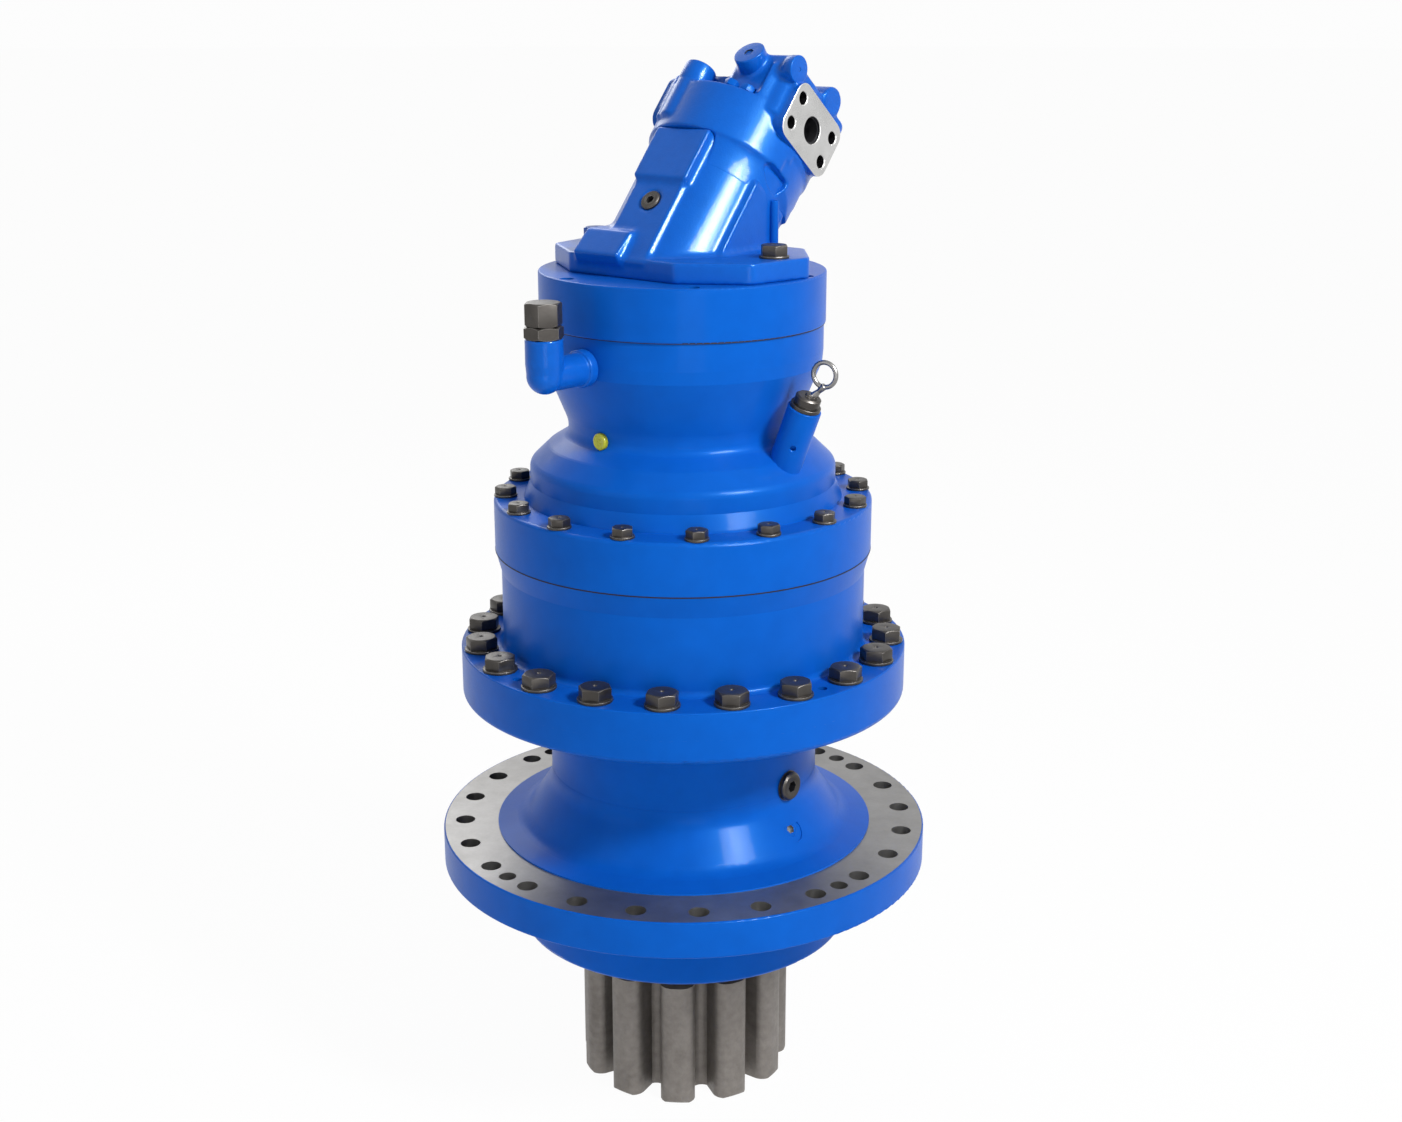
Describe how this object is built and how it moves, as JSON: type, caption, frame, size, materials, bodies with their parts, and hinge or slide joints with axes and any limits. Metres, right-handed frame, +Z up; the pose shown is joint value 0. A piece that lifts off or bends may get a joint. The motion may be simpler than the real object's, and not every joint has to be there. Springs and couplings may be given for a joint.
{
  "type": "swing gearbox",
  "caption": "Upright planetary swing gearbox with a bent-axis hydraulic motor, spring-applied disc brake, wide mounting flange, pilot spigot and output pinion.",
  "frame": {"origin": "centre of the mounting flange's lower face, on the output axis", "axes": "+Z up the output axis to the motor, -Z to the pinion; -Y is the side that the picture shows, +X its right"},
  "size_m": [0.647, 0.647, 1.3751],
  "materials": {
    "blue_casting": "glossy paint over a machined casting, slight orange peel",
    "black_oxide": "satin black oxide",
    "pinion_steel": "dull, as forged and shot blasted",
    "gear_steel": "ground",
    "bearing_steel": "polished",
    "bare_steel": "machined",
    "cage_brass": "machined",
    "seal_rubber": "satin",
    "breather_plastic": "glossy",
    "friction_lining": "matt",
    "spring_steel": "tempered"
  },
  "bodies": {
    "housing": {"output_housing": "blue_casting", "ring_gear_housing": "blue_casting", "brake_housing": "blue_casting", "brake_cover": "blue_casting", "lower_bearing_cup": "bearing_steel", "upper_bearing_cup": "bearing_steel", "seal_carrier": "bare_steel", "shaft_seal": "seal_rubber", "seal_retaining_ring": "black_oxide", "first_ring_gear": "gear_steel", "brake_steel_discs": "bare_steel", "brake_springs": "spring_steel", "middle_flange_screws": "black_oxide", "upper_flange_screws": "black_oxide", "motor_flange_screws": "black_oxide", "brake_cover_screws": "black_oxide", "filler_elbow": "blue_casting", "filler_lock_nut": "black_oxide", "filler_cap": "black_oxide", "level_plug_seal": "black_oxide", "level_plug": "black_oxide", "drain_plug": "blue_casting", "breather_plug": "breather_plastic", "dipstick_tube": "blue_casting", "tube_screw": "blue_casting", "motor_housing": "blue_casting", "motor_case_plug": "black_oxide", "motor_port_cover": "blue_casting", "motor_cover_screws": "blue_casting"},
    "output_shaft": {"pinion_shaft": "pinion_steel", "lower_bearing_cone": "bearing_steel", "upper_bearing_cone": "bearing_steel", "bearing_lock_nut": "bare_steel", "second_carrier": "bare_steel", "second_planet_pins": "gear_steel", "second_thrust_pad": "gear_steel"},
    "lower_rollers": {"lower_bearing_rollers": "bearing_steel", "lower_bearing_cage": "cage_brass"},
    "upper_rollers": {"upper_bearing_rollers": "bearing_steel", "upper_bearing_cage": "cage_brass"},
    "second_planet_a": {"second_planet_a": "gear_steel"},
    "second_planet_b": {"second_planet_b": "gear_steel"},
    "second_planet_c": {"second_planet_c": "gear_steel"},
    "sun_and_first_carrier": {"second_sun": "gear_steel", "first_carrier": "bare_steel", "first_planet_pins": "gear_steel", "first_thrust_pad": "gear_steel"},
    "first_planet_a": {"first_planet_a": "gear_steel"},
    "first_planet_b": {"first_planet_b": "gear_steel"},
    "first_planet_c": {"first_planet_c": "gear_steel"},
    "input_line": {"input_shaft": "gear_steel", "motor_shaft": "gear_steel", "brake_hub": "bare_steel", "brake_friction_discs": "friction_lining"},
    "brake_piston": {"brake_piston": "bare_steel", "piston_seals": "seal_rubber"},
    "dipstick": {"dipstick": "black_oxide"}
  },
  "joints": [
    {"name": "output_spin", "type": "hinge", "parent": "housing", "child": "output_shaft", "pos_m": [0, 0, 0], "axis": [0, 0, 1], "continuous": true},
    {"name": "lower_rollers_spin", "type": "hinge", "parent": "housing", "child": "lower_rollers", "pos_m": [0, 0, -0.0285], "axis": [0, 0, 1], "continuous": true},
    {"name": "upper_rollers_spin", "type": "hinge", "parent": "housing", "child": "upper_rollers", "pos_m": [0, 0, 0.1685], "axis": [0, 0, 1], "continuous": true},
    {"name": "second_planet_a_spin", "type": "hinge", "parent": "output_shaft", "child": "second_planet_a", "pos_m": [0.135, 0, 0.352], "axis": [0, 0, 1], "continuous": true},
    {"name": "second_planet_b_spin", "type": "hinge", "parent": "output_shaft", "child": "second_planet_b", "pos_m": [-0.0675, 0.11691, 0.352], "axis": [0, 0, 1], "continuous": true},
    {"name": "second_planet_c_spin", "type": "hinge", "parent": "output_shaft", "child": "second_planet_c", "pos_m": [-0.0675, -0.11691, 0.352], "axis": [0, 0, 1], "continuous": true},
    {"name": "sun_and_first_carrier_spin", "type": "hinge", "parent": "housing", "child": "sun_and_first_carrier", "pos_m": [0, 0, 0.42], "axis": [0, 0, 1], "continuous": true},
    {"name": "first_planet_a_spin", "type": "hinge", "parent": "sun_and_first_carrier", "child": "first_planet_a", "pos_m": [0.099, 0, 0.474], "axis": [0, 0, 1], "continuous": true},
    {"name": "first_planet_b_spin", "type": "hinge", "parent": "sun_and_first_carrier", "child": "first_planet_b", "pos_m": [-0.0495, 0.08574, 0.474], "axis": [0, 0, 1], "continuous": true},
    {"name": "first_planet_c_spin", "type": "hinge", "parent": "sun_and_first_carrier", "child": "first_planet_c", "pos_m": [-0.0495, -0.08574, 0.474], "axis": [0, 0, 1], "continuous": true},
    {"name": "input_spin", "type": "hinge", "parent": "housing", "child": "input_line", "pos_m": [0, 0, 0.6], "axis": [0, 0, 1], "continuous": true},
    {"name": "brake_piston_slide", "type": "slide", "parent": "housing", "child": "brake_piston", "axis": [0, 0, 1], "range_m": [0, 0.0025], "stiffness_N_per_m": 50000, "springref_m": -0.003, "deforming": ["brake_springs"]},
    {"name": "dipstick_pull", "type": "slide", "parent": "housing", "child": "dipstick", "axis": [0.2803, -0.2436, 0.9285], "range_m": [0, 0.13]}
  ],
  "couplings": [
    {"joint": "lower_rollers_spin", "follows": "output_spin", "ratio": 0.448},
    {"joint": "upper_rollers_spin", "follows": "output_spin", "ratio": 0.44808},
    {"joint": "second_planet_a_spin", "follows": "output_spin", "ratio": -3},
    {"joint": "second_planet_b_spin", "follows": "output_spin", "ratio": -3},
    {"joint": "second_planet_c_spin", "follows": "output_spin", "ratio": -3},
    {"joint": "sun_and_first_carrier_spin", "follows": "output_spin", "ratio": 4},
    {"joint": "first_planet_a_spin", "follows": "output_spin", "ratio": -11.333},
    {"joint": "first_planet_b_spin", "follows": "output_spin", "ratio": -11.333},
    {"joint": "first_planet_c_spin", "follows": "output_spin", "ratio": -11.333},
    {"joint": "input_spin", "follows": "output_spin", "ratio": 17.6}
  ]
}
